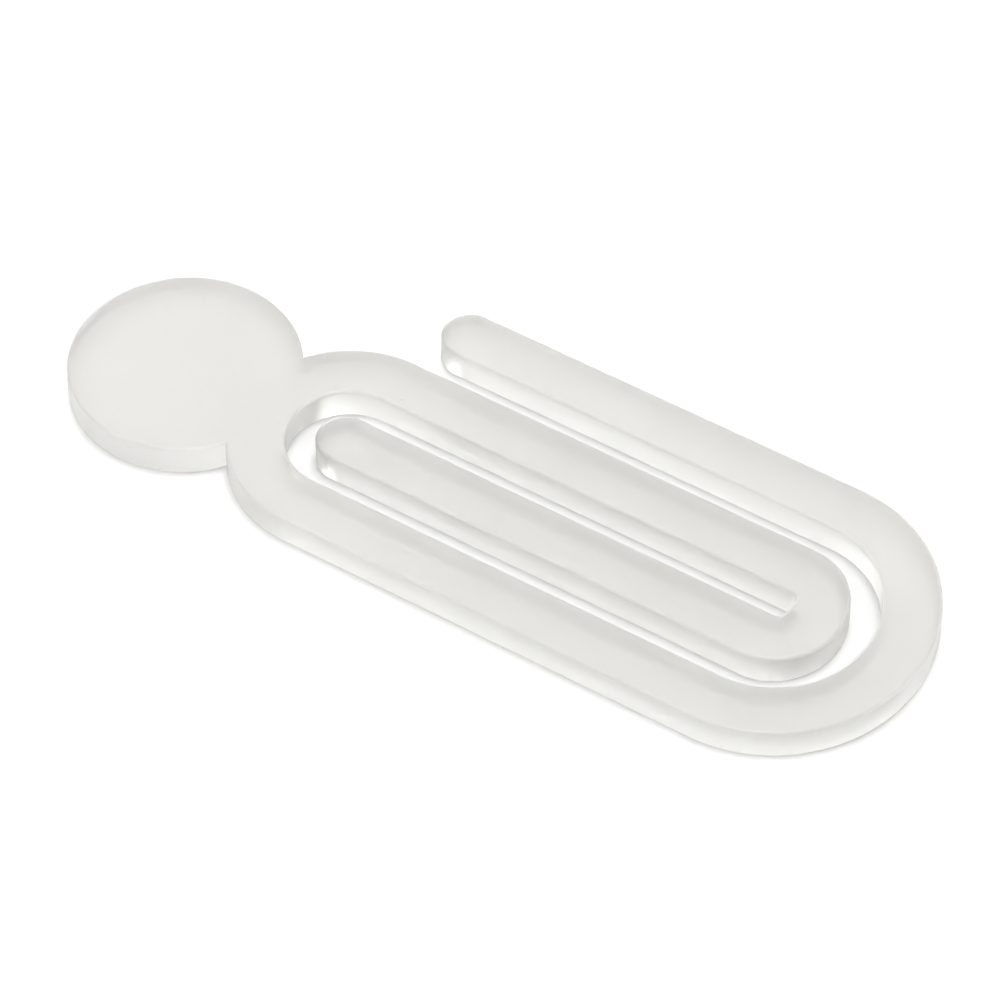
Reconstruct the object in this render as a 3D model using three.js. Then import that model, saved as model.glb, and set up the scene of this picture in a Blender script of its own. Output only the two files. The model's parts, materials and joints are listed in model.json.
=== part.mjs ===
// A flat, one-piece plastic clip shaped like a paper clip, with a round thumb disc at its head.
//
// The clip is one strip of constant thickness, laid out in a spiral:
//   outer arm - outer bend - long leg - head bend - tongue leg - tongue bend - tongue arm
// It is cut into its eight stretches, because the long thin legs flex while the bends stay stiff.
// Each flexing leg is cut at its flex line, a short way from the bend that it grows out of.
//
// Millimetres. +X runs from the disc towards the outer bend, +Y from the long leg towards the
// outer arm, +Z up. The origin is the centre of the footprint, on the surface the clip lies on.

import * as THREE from 'three';

// ---- driving dimensions ----

const THICKNESS = 3.0;
const LEG_WIDTH = 5.0;
const SLOT_WIDTH = 2.8;
const EDGE_RADIUS = 0.3;          // rounding of the top and bottom edges

const DISC_RADIUS = 10.1;
const HEAD_TO_DISC = 16.6;        // centre of the head bend to centre of the disc
const HEAD_TO_OUTER_BEND = 39.5;  // centre to centre, which is also the straight length of the long leg
const HEAD_TO_TONGUE_BEND = 39.6;

const OUTER_BEND_REACH = 13.4;    // from the bend's centre to its nose: a little flatter than round
const OUTER_BEND_NOSE_WIDTH = 4.9;
const TONGUE_BEND_REACH = 5.8;

const OUTER_ARM_TIP = -0.2;       // free ends and slot end, measured along X from the head bend's centre
const TONGUE_ARM_TIP = -2.8;
const TONGUE_SLOT_END = 40.7;
const SLOT_END_RADIUS = 0.7;

const FLEX_OFFSET = 6.0;          // from a bend's straight edge to the flex line of the leg beside it
const FLEX_GAP = 0.4;             // clear width at a flex line
const JOIN_GAP = 0.3;             // clear width between two stretches that don't move

const CURVE_SEGMENTS = 14;
const EDGE_SEGMENTS = 2;

// ---- derived places ----

const PITCH = LEG_WIDTH + SLOT_WIDTH;
const OVERALL_LENGTH = DISC_RADIUS + HEAD_TO_DISC + HEAD_TO_OUTER_BEND + OUTER_BEND_REACH;

const HEAD_X = DISC_RADIUS + HEAD_TO_DISC - OVERALL_LENGTH / 2;
const DISC_X = HEAD_X - HEAD_TO_DISC;
const OUTER_BEND_X = HEAD_X + HEAD_TO_OUTER_BEND;
const TONGUE_BEND_X = HEAD_X + HEAD_TO_TONGUE_BEND;
const HEAD_FLEX_X = HEAD_X + FLEX_OFFSET;
const BEND_FLEX_X = OUTER_BEND_X - FLEX_OFFSET;

// Centre lines of the four parallel legs, from the near side to the far side.
const LONG_LEG_Y = -1.5 * PITCH;
const TONGUE_ARM_Y = -0.5 * PITCH;
const TONGUE_LEG_Y = 0.5 * PITCH;
const OUTER_ARM_Y = 1.5 * PITCH;

// The head bend joins the long leg to the tongue leg, so its axis is the tongue arm's centre line.
const HEAD_Y = (LONG_LEG_Y + TONGUE_LEG_Y) / 2;

const HALF_WIDTH = LEG_WIDTH / 2;
const HEAD_OUTER_RADIUS = PITCH + HALF_WIDTH;
const HEAD_INNER_RADIUS = PITCH - HALF_WIDTH;

// The chord where the disc's circle crosses the head bend's outer circle.
const NECK_FROM_DISC =
  (HEAD_TO_DISC ** 2 + DISC_RADIUS ** 2 - HEAD_OUTER_RADIUS ** 2) / (2 * HEAD_TO_DISC);
const NECK_X = DISC_X + NECK_FROM_DISC;

const HALF_TURN = Math.PI;
const QUARTER_TURN = Math.PI / 2;

// ---- one stretch of the strip ----

// A plate of the clip's thickness with this outline and rounded top and bottom edges.
function plate(name, outline) {
  const geometry = new THREE.ExtrudeGeometry(outline, {
    depth: THICKNESS - 2 * EDGE_RADIUS,
    bevelThickness: EDGE_RADIUS,
    bevelSize: EDGE_RADIUS,
    bevelOffset: -EDGE_RADIUS,
    bevelSegments: EDGE_SEGMENTS,
    curveSegments: CURVE_SEGMENTS,
  });
  const plastic = new THREE.MeshStandardMaterial({ color: 0xe8e7e3, roughness: 0.35, metalness: 0 });
  const mesh = new THREE.Mesh(geometry, plastic);
  mesh.name = name;
  mesh.position.z = EDGE_RADIUS;
  return mesh;
}

// A straight leg with both ends square.
function straightLeg(name, fromX, toX, centreY) {
  const outline = new THREE.Shape();
  outline.moveTo(fromX, centreY - HALF_WIDTH);
  outline.lineTo(toX, centreY - HALF_WIDTH);
  outline.lineTo(toX, centreY + HALF_WIDTH);
  outline.lineTo(fromX, centreY + HALF_WIDTH);
  outline.closePath();
  return plate(name, outline);
}

// A free arm: square where it flexes, and a half round at its tip, which points towards -X.
function freeArm(name, tipX, rootX, centreY) {
  const outline = new THREE.Shape();
  outline.moveTo(rootX, centreY + HALF_WIDTH);
  outline.lineTo(tipX + HALF_WIDTH, centreY + HALF_WIDTH);
  outline.absarc(tipX + HALF_WIDTH, centreY, HALF_WIDTH, QUARTER_TURN, QUARTER_TURN + HALF_TURN);
  outline.lineTo(rootX, centreY - HALF_WIDTH);
  outline.closePath();
  return plate(name, outline);
}

// The thumb disc, cut off straight at the neck where it grows out of the head bend.
function thumbDisc() {
  const neckAngle = Math.acos((NECK_FROM_DISC - JOIN_GAP / 2) / DISC_RADIUS);
  const outline = new THREE.Shape();
  outline.absarc(DISC_X, HEAD_Y, DISC_RADIUS, neckAngle, 2 * Math.PI - neckAngle);
  outline.closePath();
  return plate('thumb_disc', outline);
}

// The bend at the head, from the neck to the flex lines of the long leg and the tongue leg.
function headBend() {
  const endX = HEAD_FLEX_X - FLEX_GAP / 2;
  const neckAngle = Math.acos((HEAD_X - NECK_X - JOIN_GAP / 2) / HEAD_OUTER_RADIUS);
  const top = HEAD_Y + HEAD_OUTER_RADIUS;
  const bottom = HEAD_Y - HEAD_OUTER_RADIUS;
  const outline = new THREE.Shape();
  outline.moveTo(endX, top);
  outline.lineTo(HEAD_X, top);
  outline.absarc(HEAD_X, HEAD_Y, HEAD_OUTER_RADIUS, QUARTER_TURN, HALF_TURN - neckAngle);
  outline.absarc(HEAD_X, HEAD_Y, HEAD_OUTER_RADIUS, HALF_TURN + neckAngle, QUARTER_TURN + HALF_TURN);
  outline.lineTo(endX, bottom);
  outline.lineTo(endX, bottom + LEG_WIDTH);
  outline.absarc(HEAD_X, HEAD_Y, HEAD_INNER_RADIUS, QUARTER_TURN + HALF_TURN, QUARTER_TURN, true);
  outline.lineTo(endX, top - LEG_WIDTH);
  outline.closePath();
  return plate('head_bend', outline);
}

// The large bend that joins the long leg to the outer arm.
function outerBend() {
  const startX = BEND_FLEX_X + FLEX_GAP / 2;
  const outerRadius = OUTER_ARM_Y + HALF_WIDTH;
  const innerRadius = OUTER_ARM_Y - HALF_WIDTH;
  const innerReach = OUTER_BEND_REACH - OUTER_BEND_NOSE_WIDTH;
  const outline = new THREE.Shape();
  outline.moveTo(startX, -outerRadius);
  outline.lineTo(OUTER_BEND_X, -outerRadius);
  outline.absellipse(OUTER_BEND_X, 0, OUTER_BEND_REACH, outerRadius, -QUARTER_TURN, QUARTER_TURN);
  outline.lineTo(startX, outerRadius);
  outline.lineTo(startX, innerRadius);
  outline.absellipse(OUTER_BEND_X, 0, innerReach, innerRadius, QUARTER_TURN, -QUARTER_TURN, true);
  outline.lineTo(startX, -innerRadius);
  outline.closePath();
  return plate('outer_bend', outline);
}

// The small bend that joins the tongue leg to the tongue arm, round the end of the middle slot.
function tongueBend() {
  const startX = BEND_FLEX_X + FLEX_GAP / 2;
  const outerRadius = TONGUE_LEG_Y + HALF_WIDTH;
  const slotHalf = SLOT_WIDTH / 2;
  const cornerX = HEAD_X + TONGUE_SLOT_END - SLOT_END_RADIUS;
  const cornerY = slotHalf - SLOT_END_RADIUS;
  const outline = new THREE.Shape();
  outline.moveTo(startX, -outerRadius);
  outline.lineTo(TONGUE_BEND_X, -outerRadius);
  outline.absellipse(TONGUE_BEND_X, 0, TONGUE_BEND_REACH, outerRadius, -QUARTER_TURN, QUARTER_TURN);
  outline.lineTo(startX, outerRadius);
  outline.lineTo(startX, slotHalf);
  outline.absarc(cornerX, cornerY, SLOT_END_RADIUS, QUARTER_TURN, 0, true);
  outline.absarc(cornerX, -cornerY, SLOT_END_RADIUS, 0, -QUARTER_TURN, true);
  outline.lineTo(startX, -slotHalf);
  outline.closePath();
  return plate('tongue_bend', outline);
}

// ---- the clip ----

const clip = new THREE.Group();
clip.name = 'clip';
clip.add(
  thumbDisc(),
  headBend(),
  straightLeg('long_leg', HEAD_FLEX_X + FLEX_GAP / 2, BEND_FLEX_X - JOIN_GAP / 2, LONG_LEG_Y),
  outerBend(),
  freeArm('outer_arm', HEAD_X + OUTER_ARM_TIP, BEND_FLEX_X - FLEX_GAP / 2, OUTER_ARM_Y),
  straightLeg('tongue_leg', HEAD_FLEX_X + FLEX_GAP / 2, BEND_FLEX_X - JOIN_GAP / 2, TONGUE_LEG_Y),
  tongueBend(),
  freeArm('tongue_arm', HEAD_X + TONGUE_ARM_TIP, BEND_FLEX_X - FLEX_GAP / 2, TONGUE_ARM_Y),
);

export default clip;
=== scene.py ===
import json
import math

import bmesh
import bpy
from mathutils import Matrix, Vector


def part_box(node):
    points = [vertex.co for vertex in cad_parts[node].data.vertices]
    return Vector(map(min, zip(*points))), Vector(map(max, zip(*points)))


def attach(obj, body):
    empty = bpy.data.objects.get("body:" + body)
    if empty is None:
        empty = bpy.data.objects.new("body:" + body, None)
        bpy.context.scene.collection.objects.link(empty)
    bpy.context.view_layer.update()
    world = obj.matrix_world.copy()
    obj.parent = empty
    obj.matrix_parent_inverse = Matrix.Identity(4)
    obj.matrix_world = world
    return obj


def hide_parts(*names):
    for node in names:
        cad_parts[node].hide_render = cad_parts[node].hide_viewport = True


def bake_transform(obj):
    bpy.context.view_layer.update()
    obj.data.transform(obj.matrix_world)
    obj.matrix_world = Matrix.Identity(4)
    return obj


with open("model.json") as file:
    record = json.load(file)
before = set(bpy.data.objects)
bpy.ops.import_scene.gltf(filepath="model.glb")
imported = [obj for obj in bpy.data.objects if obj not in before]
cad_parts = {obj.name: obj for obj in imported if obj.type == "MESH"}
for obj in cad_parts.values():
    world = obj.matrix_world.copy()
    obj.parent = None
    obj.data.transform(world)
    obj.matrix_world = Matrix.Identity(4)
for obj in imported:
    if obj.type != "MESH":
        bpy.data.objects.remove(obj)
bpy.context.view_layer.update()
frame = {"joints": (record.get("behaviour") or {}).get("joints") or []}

MM = 0.001

# ---- sizes that the frame gives ----

joints = {joint["name"]: joint for joint in frame["joints"]}
leg_low, leg_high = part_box("long_leg")
disc_low, disc_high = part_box("thumb_disc")
head_low, head_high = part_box("head_bend")
outer_low, outer_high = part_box("outer_bend")
tongue_low, tongue_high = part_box("tongue_bend")

THICKNESS = leg_high.z - leg_low.z
HALF_WIDTH = (leg_high.y - leg_low.y) / 2
DISC_RADIUS = (disc_high.y - disc_low.y) / 2
HEAD_RADIUS = (head_high.y - head_low.y) / 2
HEAD_Y = (head_high.y + head_low.y) / 2
OUTER_RADIUS = (outer_high.y - outer_low.y) / 2
TONGUE_RADIUS = (tongue_high.y - tongue_low.y) / 2
HEAD_FLEX_X = joints["tongue_flex"]["pos_m"][0]
BEND_FLEX_X = joints["outer_arm_flex"]["pos_m"][0]

# ---- sizes that scene.py shares with the CAD source ----

EDGE_RADIUS = 0.3 * MM
FLEX_OFFSET = 6.0 * MM
OUTER_NOSE_WIDTH = 4.9 * MM
TONGUE_BEND_SHIFT = 0.1 * MM
SLOT_END_FROM_HEAD = 40.7 * MM
SLOT_END_RADIUS = 0.7 * MM

DISC_X = disc_low.x + DISC_RADIUS
HEAD_X = HEAD_FLEX_X - FLEX_OFFSET
OUTER_X = BEND_FLEX_X + FLEX_OFFSET
TONGUE_X = OUTER_X + TONGUE_BEND_SHIFT
LEG_Y = {name: (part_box(name)[0].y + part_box(name)[1].y) / 2
         for name in ("long_leg", "tongue_arm", "tongue_leg", "outer_arm")}

# ---- fineness of the skins ----

EDGE_STEPS = 4
ROOT_STEPS = 2              # along the straight root of a bend
HALF_TURN_STEPS = 60
HEAD_ARC_STEPS = 24         # from the root of the head bend to the neck
NECK_STEPS = 12
LEG_STEPS = 60
SEAM_OFFSET = 1.0 * MM      # the skins meet this far along a leg from the bend


def steps(start, end, count):
    """count equal steps from start to end, both included."""
    return [start + (end - start) * i / count for i in range(count + 1)]


def wall_profile():
    """(inset, height) pairs up one wall: round the bottom edge, up the wall, round the top edge."""
    quarter = [math.pi / 2 * i / EDGE_STEPS for i in range(EDGE_STEPS + 1)]
    low = [(EDGE_RADIUS * (1 - math.sin(a)), EDGE_RADIUS * (1 - math.cos(a))) for a in quarter]
    high = [(inset, THICKNESS - height) for inset, height in reversed(low)]
    return low + high


# ---- rails: each takes an inset and gives the points of one side of a skin ----

def line(from_x, to_x, y, count):
    """Points along X, at one y."""
    return [(x, y) for x in steps(from_x, to_x, count)]


def arc(x, y, reach, radius, start, end, count):
    """Points of an ellipse about (x, y), with half-axes reach in X and radius in Y."""
    return [(x + reach * math.cos(a), y + radius * math.sin(a)) for a in steps(start, end, count)]


def straight_rail(from_x, to_x, y, side):
    """One side of a leg whose middle line is at y. side is 1 for the +Y side and -1 for the -Y side."""
    def rail(inset):
        return line(from_x, to_x, y + side * (HALF_WIDTH - inset), LEG_STEPS)
    return rail


def arm_rail(root_x, tip_x, y, side):
    """Along a free arm and round a quarter of its tip, which points towards -X."""
    centre_x = tip_x + HALF_WIDTH

    def rail(inset):
        radius = HALF_WIDTH - inset
        straight = line(root_x, centre_x, y + side * radius, LEG_STEPS)
        tip = arc(centre_x, y, radius, side * radius, math.pi / 2, math.pi, HALF_TURN_STEPS // 2)
        return straight[:-1] + tip
    return rail


def bend_rail(start_x, centre_x, reach, radius, inset_sign):
    """Out along a straight root, round a half turn towards +X and back.

    inset_sign is 1 on the outside of the bend and -1 on the inside."""
    def rail(inset):
        a, b = reach - inset_sign * inset, radius - inset_sign * inset
        root = line(start_x, centre_x, -b, ROOT_STEPS)
        around = arc(centre_x, 0, a, b, -math.pi / 2, math.pi / 2, HALF_TURN_STEPS)
        back = line(centre_x, start_x, b, ROOT_STEPS)
        return root[:-1] + around + back[1:]
    return rail


def neck_point(inset):
    """Where the disc's circle meets the head bend's, as an offset from the disc's centre."""
    apart = HEAD_X - DISC_X
    disc, head = DISC_RADIUS - inset, HEAD_RADIUS - inset
    along = (apart ** 2 + disc ** 2 - head ** 2) / (2 * apart)
    return along, math.sqrt(disc ** 2 - along ** 2)


def disc_rail(side):
    """From the neck round to the disc's far end."""
    def rail(inset):
        along, across = neck_point(inset)
        radius = DISC_RADIUS - inset
        neck_angle = math.atan2(across, along)
        return arc(DISC_X, HEAD_Y, radius, side * radius, neck_angle, math.pi, HALF_TURN_STEPS)
    return rail


def head_outer_rail(start_x):
    """From the long leg's root round to the neck, straight across it, and on to the tongue leg's root."""
    def rail(inset):
        along, across = neck_point(inset)
        neck_x = DISC_X + along
        radius = HEAD_RADIUS - inset
        neck_angle = math.atan2(across, HEAD_X - neck_x)
        root = line(start_x, HEAD_X, HEAD_Y - radius, ROOT_STEPS)
        low_arc = arc(HEAD_X, HEAD_Y, -radius, -radius, math.pi / 2, neck_angle, HEAD_ARC_STEPS)
        neck = [(neck_x, HEAD_Y + y) for y in steps(-across, across, NECK_STEPS)]
        lower = root[:-1] + low_arc
        upper = [(x, 2 * HEAD_Y - y) for x, y in reversed(lower)]
        return lower + neck[1:-1] + upper
    return rail


def head_inner_rail(start_x):
    """From the long leg's root round the inside of the head bend to the tongue leg's root."""
    def rail(inset):
        radius = HEAD_RADIUS - 2 * HALF_WIDTH + inset
        around_steps = 2 * HEAD_ARC_STEPS + NECK_STEPS
        root = line(start_x, HEAD_X, HEAD_Y - radius, ROOT_STEPS)
        around = arc(HEAD_X, HEAD_Y, -radius, -radius, math.pi / 2, -math.pi / 2, around_steps)
        back = line(HEAD_X, start_x, HEAD_Y + radius, ROOT_STEPS)
        return root[:-1] + around + back[1:]
    return rail


def slot_rail(start_x):
    """Round the square end of the middle slot and its two small corners."""
    corner_x = HEAD_X + SLOT_END_FROM_HEAD - SLOT_END_RADIUS
    slot_half = TONGUE_RADIUS - 2 * HALF_WIDTH
    corner_y = slot_half - SLOT_END_RADIUS

    def rail(inset):
        radius = SLOT_END_RADIUS + inset
        root = line(start_x, corner_x, -slot_half - inset, ROOT_STEPS)
        corner = arc(corner_x, -corner_y, radius, radius, -math.pi / 2, 0, HALF_TURN_STEPS // 2 - 1)
        lower = root[:-1] + corner
        middle = (corner_x + radius, 0)
        upper = [(x, -y) for x, y in reversed(lower)]
        return lower + [middle] + upper
    return rail


# ---- skins ----

PLASTIC_SLOT, SEAM_SLOT = 0, 1


def skin(name, left, right, closed_tip=False, neck=None):
    """A closed body between two rails: rounded walls, flat top and bottom, and a seam at each open end.

    closed_tip says that the rails meet at their far end. neck is the span of left-rail stations whose
    wall is a seam with the next skin."""
    mesh = bmesh.new()
    profile = wall_profile()
    rings = []
    for rail in (left, right):
        rings.append([[mesh.verts.new((x, y, height)) for x, y in rail(inset)]
                      for inset, height in profile])
    stations = len(rings[0][0])
    top = len(profile) - 1
    for side, ring in enumerate(rings):
        for level in range(top):
            for i in range(stations - 1):
                face = mesh.faces.new((ring[level][i], ring[level][i + 1],
                                       ring[level + 1][i + 1], ring[level + 1][i]))
                if side == 0 and neck and neck[0] <= i < neck[1]:
                    face.material_index = SEAM_SLOT
    for level in (0, top):
        for i in range(stations - 1):
            mesh.faces.new((rings[0][level][i], rings[0][level][i + 1],
                            rings[1][level][i + 1], rings[1][level][i]))
    for i in (0,) if closed_tip else (0, stations - 1):
        up_left = [ring_level[i] for ring_level in rings[0]]
        down_right = [ring_level[i] for ring_level in reversed(rings[1])]
        mesh.faces.new(up_left + down_right).material_index = SEAM_SLOT
    bmesh.ops.remove_doubles(mesh, verts=mesh.verts, dist=EDGE_RADIUS / 1000)
    bmesh.ops.recalc_face_normals(mesh, faces=mesh.faces)
    for face in mesh.faces:
        face.smooth = True
    for edge in mesh.edges:
        edge.smooth = len({face.material_index for face in edge.link_faces}) == 1
    data = bpy.data.meshes.new(name)
    mesh.to_mesh(data)
    mesh.free()
    data.materials.append(PLASTIC)
    data.materials.append(SEAM)
    piece = bpy.data.objects.new(name, data)
    bpy.context.scene.collection.objects.link(piece)
    weighted = piece.modifiers.new("flat_faces_stay_flat", "WEIGHTED_NORMAL")
    weighted.keep_sharp = True
    return piece


# ---- materials ----

class Nodes:
    """Short ways to make and join the nodes of one material."""

    def __init__(self, material):
        material.use_nodes = True
        self.tree = material.node_tree

    def new(self, kind, inputs=None, **settings):
        node = self.tree.nodes.new(kind)
        for name, value in settings.items():
            setattr(node, name, value)
        for socket, value in (inputs or {}).items():
            self.feed(node.inputs[socket], value)
        return node

    def feed(self, socket, value):
        """A socket takes another node's output, or a plain value."""
        if isinstance(value, bpy.types.NodeSocket):
            self.tree.links.new(value, socket)
        else:
            socket.default_value = value

    def noise(self, place, size, detail=2.0, stretch=None):
        """Noise from 0 to 1 whose blobs are about size across. stretch squeezes the place first."""
        if stretch:
            squeezed = self.new("ShaderNodeVectorMath", {0: place, 1: stretch}, operation="MULTIPLY")
            place = squeezed.outputs[0]
        texture = self.new("ShaderNodeTexNoise",
                           {"Vector": place, "Scale": 1 / size, "Detail": detail})
        return texture.outputs["Fac"]

    def ramp(self, value, low, high, to_low=0.0, to_high=1.0):
        """Remap value from low..high to to_low..to_high, smoothly, and clamp it."""
        node = self.new("ShaderNodeMapRange", {"Value": value, "From Min": low, "From Max": high,
                                               "To Min": to_low, "To Max": to_high},
                        interpolation_type="SMOOTHSTEP")
        return node.outputs["Result"]

    def math(self, operation, a, b=0.0):
        return self.new("ShaderNodeMath", {0: a, 1: b}, operation=operation).outputs[0]

    def mix(self, factor, a, b):
        node = self.new("ShaderNodeMix", data_type="RGBA")
        self.feed(node.inputs["Factor"], factor)
        colours = [socket for socket in node.inputs if socket.type == "RGBA"]
        self.feed(colours[0], a)
        self.feed(colours[1], b)
        return next(socket for socket in node.outputs if socket.type == "RGBA")


CLEAR_TINT = (0.914, 0.907, 0.887, 1)
CLOUDY_TINT = (0.898, 0.892, 0.870, 1)
# Painted shade on the walls: darker than the flat faces.
WALL_PAINTED_SHADE = (0.852, 0.846, 0.825, 1)
# Painted contact shadow along the bottom edge of the walls.
PAINTED_CONTACT_SHADOW = (0.36, 0.30, 0.20, 1)
SPECK = (0.60, 0.58, 0.52, 1)

REFRACTIVE_INDEX = 1.49
SEE_THROUGH = 0.85          # the rest of the light is scattered back, which makes the plastic milky
ROUGHNESS = (0.30, 0.37)    # polished and rubbed

CLOUD_SIZE = 6 * MM
CLOUD_STRETCH = (0.5, 1, 1)
RUB_SIZE = 3 * MM
FLOW_SIZE = 4 * MM
FLOW_STRETCH = (0.35, 1, 1)
FLOW_DEPTH = 0.12 * MM
SATIN_SIZE = 0.12 * MM
SATIN_DEPTH = 0.01 * MM
SPECK_SPACING = 5 * MM
SPECK_RADIUS = 0.12 * MM
# How high up the walls the painted contact shadow reaches.
CONTACT_SHADOW_HEIGHT = 0.2 * MM


def milky_plastic():
    """Uncoloured, slightly cloudy plastic with a satin skin, faint flow waves and a few specks."""
    material = bpy.data.materials.new("satin_milky_plastic")
    nodes = Nodes(material)
    shader = material.node_tree.nodes["Principled BSDF"]
    place = nodes.new("ShaderNodeTexCoord").outputs["Object"]
    surface = nodes.new("ShaderNodeNewGeometry")

    # Cloudiness drifts along the strip, as the melt flowed.
    cloud = nodes.ramp(nodes.noise(place, CLOUD_SIZE, stretch=CLOUD_STRETCH), 0.35, 0.65)
    colour = nodes.mix(cloud, CLEAR_TINT, CLOUDY_TINT)

    # A few specks of darker plastic.
    cells = nodes.new("ShaderNodeTexVoronoi", {"Vector": place, "Scale": 1 / SPECK_SPACING})
    speck_edge = SPECK_RADIUS / SPECK_SPACING
    speck = nodes.ramp(cells.outputs["Distance"], 0.5 * speck_edge, speck_edge, 0.8, 0.0)
    colour = nodes.mix(speck, colour, SPECK)

    # Painted shade: the base colour is darker on the walls than on the flat faces, as if less light fell
    # on them.
    tilt = nodes.new("ShaderNodeSeparateXYZ", {0: surface.outputs["Normal"]}).outputs["Z"]
    upright = nodes.ramp(nodes.math("ABSOLUTE", tilt), 0.75, 0.95, 1, 0)
    colour = nodes.mix(upright, colour, WALL_PAINTED_SHADE)

    # Painted contact shadow: the base colour darkens in patches along the rounded bottom edge of the
    # walls, where the clip meets what it lies on.
    height = nodes.new("ShaderNodeSeparateXYZ", {0: place}).outputs["Z"]
    low = nodes.ramp(height, 0, CONTACT_SHADOW_HEIGHT, 1, 0)
    patchy = nodes.ramp(nodes.noise(place, FLOW_SIZE, 3.0), 0.35, 0.6, 0.5, 1)
    contact_shadow = nodes.math("MULTIPLY", nodes.math("MULTIPLY", low, upright), patchy)
    colour = nodes.mix(contact_shadow, colour, PAINTED_CONTACT_SHADOW)
    nodes.feed(shader.inputs["Base Color"], colour)

    # Some patches are rubbed duller than others.
    rubbed = nodes.noise(place, RUB_SIZE, 4.0)
    nodes.feed(shader.inputs["Roughness"], nodes.ramp(rubbed, 0.3, 0.7, *ROUGHNESS))

    # Slow waves from the flow of the melt, under the fine satin.
    flow = nodes.noise(place, FLOW_SIZE, 1.0, stretch=FLOW_STRETCH)
    satin = nodes.noise(place, SATIN_SIZE, 3.0)
    waves = nodes.new("ShaderNodeBump", {"Height": flow, "Strength": 0.4, "Distance": FLOW_DEPTH})
    skin_bump = nodes.new("ShaderNodeBump", {"Height": satin, "Strength": 0.12, "Distance": SATIN_DEPTH,
                                             "Normal": waves.outputs[0]})
    nodes.feed(shader.inputs["Normal"], skin_bump.outputs[0])

    shader.inputs["IOR"].default_value = REFRACTIVE_INDEX
    shader.inputs["Transmission Weight"].default_value = SEE_THROUGH
    return material


def seam_face():
    """Where two skins of the same moulding meet there is no surface, so light passes straight through."""
    material = bpy.data.materials.new("moulding_interior")
    material.use_nodes = True
    tree = material.node_tree
    tree.nodes.remove(tree.nodes["Principled BSDF"])
    clear = tree.nodes.new("ShaderNodeBsdfTransparent")
    tree.links.new(clear.outputs[0], tree.nodes["Material Output"].inputs["Surface"])
    return material


PLASTIC = milky_plastic()
SEAM = seam_face()

# ---- the clip ----

head_seam = HEAD_X + SEAM_OFFSET
bend_seam = OUTER_X - SEAM_OFFSET


def straight_skin(name, y):
    far, near = (straight_rail(head_seam, bend_seam, y, side) for side in (1, -1))
    return skin(name, far, near)


def arm_skin(name, tip_x, y):
    far, near = (arm_rail(bend_seam, tip_x, y, side) for side in (1, -1))
    return skin(name, far, near, closed_tip=True)


disc = skin("thumb_disc_skin", disc_rail(1), disc_rail(-1), closed_tip=True)

neck_start = ROOT_STEPS + HEAD_ARC_STEPS
head = skin("head_bend_skin", head_outer_rail(head_seam), head_inner_rail(head_seam),
            neck=(neck_start, neck_start + NECK_STEPS))

long_leg = straight_skin("long_leg_skin", LEG_Y["long_leg"])
tongue_leg = straight_skin("tongue_leg_skin", LEG_Y["tongue_leg"])

outer_reach = outer_high.x - OUTER_X
inner_reach = outer_reach - OUTER_NOSE_WIDTH
inner_radius = OUTER_RADIUS - 2 * HALF_WIDTH
outer = skin("outer_bend_skin",
             bend_rail(bend_seam, OUTER_X, outer_reach, OUTER_RADIUS, 1),
             bend_rail(bend_seam, OUTER_X, inner_reach, inner_radius, -1))
tongue = skin("tongue_bend_skin",
              bend_rail(bend_seam, TONGUE_X, tongue_high.x - TONGUE_X, TONGUE_RADIUS, 1),
              slot_rail(bend_seam))

outer_arm = arm_skin("outer_arm_skin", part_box("outer_arm")[0].x, LEG_Y["outer_arm"])
tongue_arm = arm_skin("tongue_arm_skin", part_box("tongue_arm")[0].x, LEG_Y["tongue_arm"])

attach(disc, "head")
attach(head, "head")
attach(outer, "outer_loop")
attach(tongue, "tongue")


def bend_across(piece):
    """Bakes the skin's placement into its mesh; the skin is not bent here."""
    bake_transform(piece)


bend_across(long_leg)
bend_across(tongue_leg)
bend_across(outer_arm)
bend_across(tongue_arm)

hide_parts("thumb_disc")
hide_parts("head_bend")
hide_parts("long_leg")
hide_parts("outer_bend")
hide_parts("outer_arm")
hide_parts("tongue_leg")
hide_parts("tongue_bend")
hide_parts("tongue_arm")

# ---- table, light and camera ----

TABLE_HALF = 1.5
TABLE_HEIGHT = -0.02 * MM   # just clear of the plastic
TABLE_COLOUR = (0.8, 0.8, 0.8, 1)
TABLE_GLOW = 0.05

SOFT_LIGHT_ANGLE = math.radians(26)
TENT_STRENGTH = 0.72
# name: azimuth in degrees from +Y towards +X, elevation in degrees, strength
SOFT_LIGHTS = {
    "overhead": (0, 85, 0.51),
    "backdrop": (-45, 12, 0.45),
    "behind": (0, 35, 0.20),
    "behind_left": (-45, 35, 0.10),
    "front_left": (-135, 35, 0.20),
}

CAMERA_AZIMUTH = math.radians(32.08)    # from -Y towards +X
CAMERA_ELEVATION = math.radians(49.08)
CAMERA_DISTANCE = 0.4303
CAMERA_TARGET = Vector((0, -0.67 * MM, 0))
SENSOR_WIDTH = 36
FOCAL_LENGTH = 184.2


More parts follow.
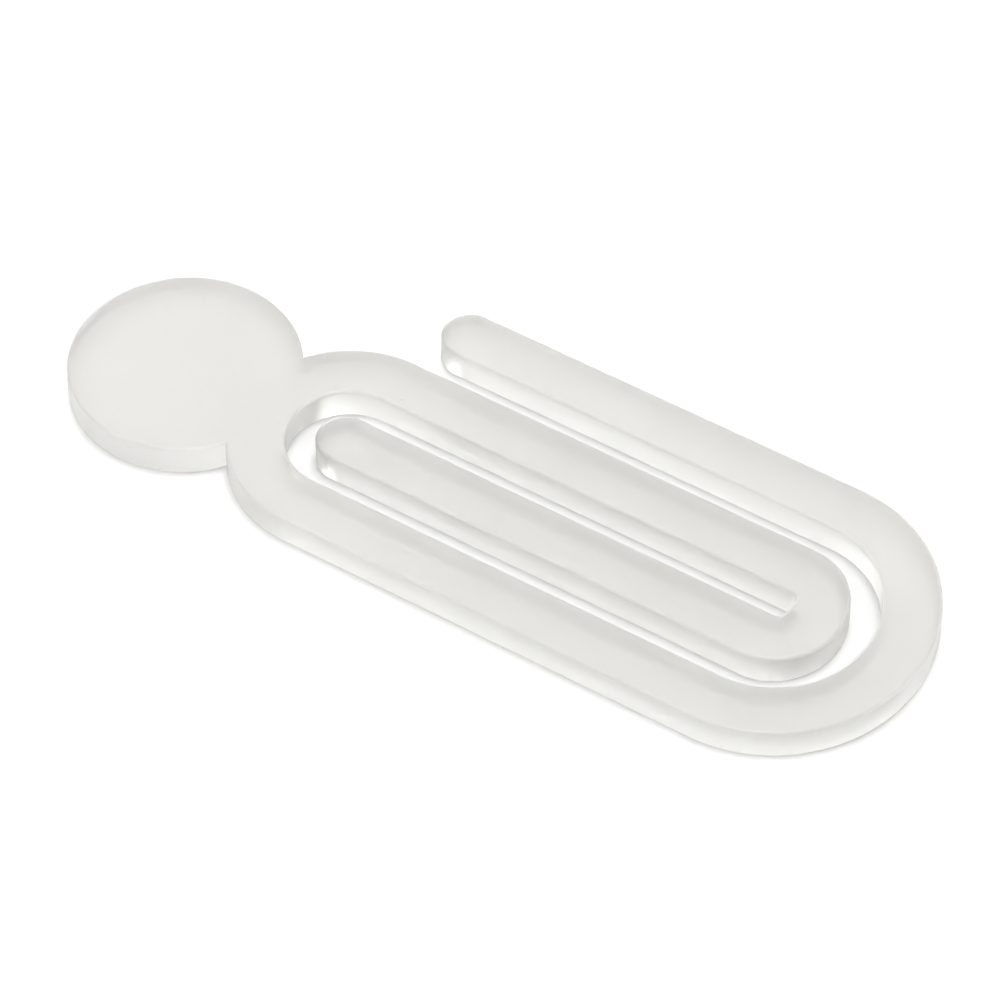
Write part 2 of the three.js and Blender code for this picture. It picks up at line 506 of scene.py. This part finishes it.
def white_table():
    corners = [(x * TABLE_HALF, y * TABLE_HALF, TABLE_HEIGHT)
               for x, y in ((-1, -1), (1, -1), (1, 1), (-1, 1))]
    data = bpy.data.meshes.new("table")
    data.from_pydata(corners, [], [(0, 1, 2, 3)])
    table = bpy.data.objects.new("table", data)
    bpy.context.scene.collection.objects.link(table)
    material = bpy.data.materials.new("white_table")
    material.use_nodes = True
    shader = material.node_tree.nodes["Principled BSDF"]
    shader.inputs["Base Color"].default_value = TABLE_COLOUR
    shader.inputs["Emission Color"].default_value = (1, 1, 1, 1)
    shader.inputs["Emission Strength"].default_value = TABLE_GLOW
    shader.inputs["Roughness"].default_value = 1
    shader.inputs["Specular IOR Level"].default_value = 0
    data.materials.append(material)


def soft_light(name, azimuth, elevation, strength):
    """A far, wide, soft light."""
    turn, lift = math.radians(azimuth), math.radians(elevation)
    towards = Vector((math.sin(turn) * math.cos(lift), math.cos(turn) * math.cos(lift), math.sin(lift)))
    light = bpy.data.lights.new(name, "SUN")
    light.angle = SOFT_LIGHT_ANGLE
    light.energy = strength * math.pi
    lamp = bpy.data.objects.new(name, light)
    lamp.rotation_mode = "QUATERNION"
    lamp.rotation_quaternion = (-towards).to_track_quat("-Z", "Y")
    bpy.context.scene.collection.objects.link(lamp)


def studio():
    """A white light tent that is brightest overhead and on the backdrop behind the clip."""
    world = bpy.data.worlds.new("light_tent")
    bpy.context.scene.world = world
    world.use_nodes = True
    background = world.node_tree.nodes["Background"]
    background.inputs["Color"].default_value = (1, 1, 1, 1)
    background.inputs["Strength"].default_value = TENT_STRENGTH
    for name, (azimuth, elevation, strength) in SOFT_LIGHTS.items():
        soft_light(name, azimuth, elevation, strength)
    bpy.context.scene.view_settings.view_transform = "Standard"


def photo_camera():
    """A camera at the photo's viewing angle."""
    across = math.cos(CAMERA_ELEVATION)
    back = Vector((math.sin(CAMERA_AZIMUTH) * across, -math.cos(CAMERA_AZIMUTH) * across,
                   math.sin(CAMERA_ELEVATION)))
    data = bpy.data.cameras.new("camera")
    data.sensor_width = SENSOR_WIDTH
    data.lens = FOCAL_LENGTH
    data.clip_start = 10 * MM
    camera = bpy.data.objects.new("camera", data)
    camera.location = CAMERA_TARGET + back * CAMERA_DISTANCE
    camera.rotation_mode = "QUATERNION"
    camera.rotation_quaternion = (-back).to_track_quat("-Z", "Y")
    bpy.context.scene.collection.objects.link(camera)
    bpy.context.scene.camera = camera


white_table()
studio()
photo_camera()
